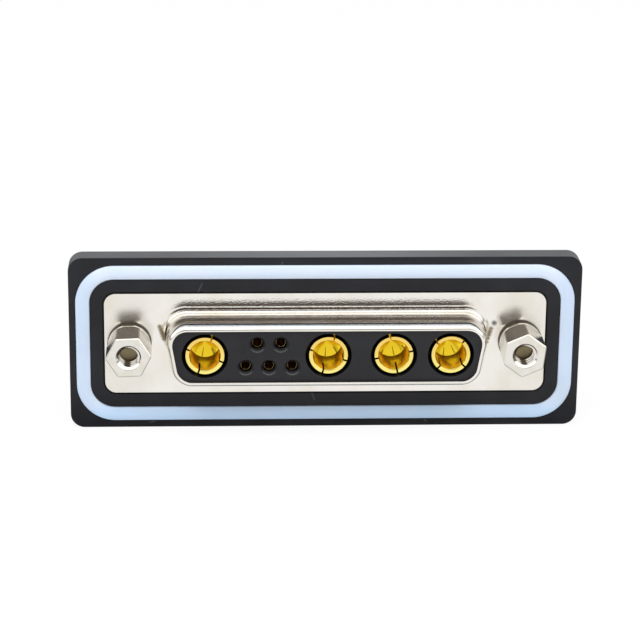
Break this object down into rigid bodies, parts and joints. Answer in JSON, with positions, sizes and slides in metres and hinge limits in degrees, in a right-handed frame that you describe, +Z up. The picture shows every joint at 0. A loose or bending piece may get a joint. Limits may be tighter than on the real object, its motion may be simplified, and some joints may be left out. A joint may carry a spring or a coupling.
{
  "type": "d-sub panel socket",
  "caption": "Sealed D-shaped panel socket: plated shell flush in a gasketed frame plate, power and signal sockets in a black insulator, hex jack posts and rear solder cups.",
  "frame": {"origin": "centre of the face that seats against the panel, which the flange and the frame share", "axes": "-Y towards the mating side, +X to the right seen from the mating side, +Z up, to the D's wide side"},
  "size_m": [0.0614, 0.0188, 0.0214],
  "materials": {
    "frame_plastic": "fine matt moulding",
    "seal_silicone": "satin silicone",
    "shell_nickel": "satin nickel plate",
    "insulator_plastic": "glass-filled moulding",
    "potting_compound": "cast resin",
    "contact_gold": "gold plate",
    "clip_bronze": "bare spring bronze",
    "hardware_nickel": "bright nickel plate on turned steel"
  },
  "bodies": {
    "root": {"sealing_frame": "frame_plastic", "seal_ring": "seal_silicone", "front_shell": "shell_nickel", "rear_shell": "shell_nickel", "front_insulator": "insulator_plastic", "insulator_shoulder": "insulator_plastic", "rear_insulator": "insulator_plastic", "potting": "potting_compound", "power_contact_1": "contact_gold", "power_contact_2": "contact_gold", "power_contact_3": "contact_gold", "power_contact_4": "contact_gold", "retention_clip_1": "clip_bronze", "retention_clip_2": "clip_bronze", "retention_clip_3": "clip_bronze", "retention_clip_4": "clip_bronze", "signal_contact_1": "contact_gold", "signal_contact_2": "contact_gold", "signal_contact_3": "contact_gold", "signal_contact_4": "contact_gold", "signal_contact_5": "contact_gold", "jack_post_left": "hardware_nickel", "jack_post_right": "hardware_nickel", "lock_washer_left": "hardware_nickel", "lock_washer_right": "hardware_nickel", "post_nut_left": "hardware_nickel", "post_nut_right": "hardware_nickel"}
  },
  "joints": []
}
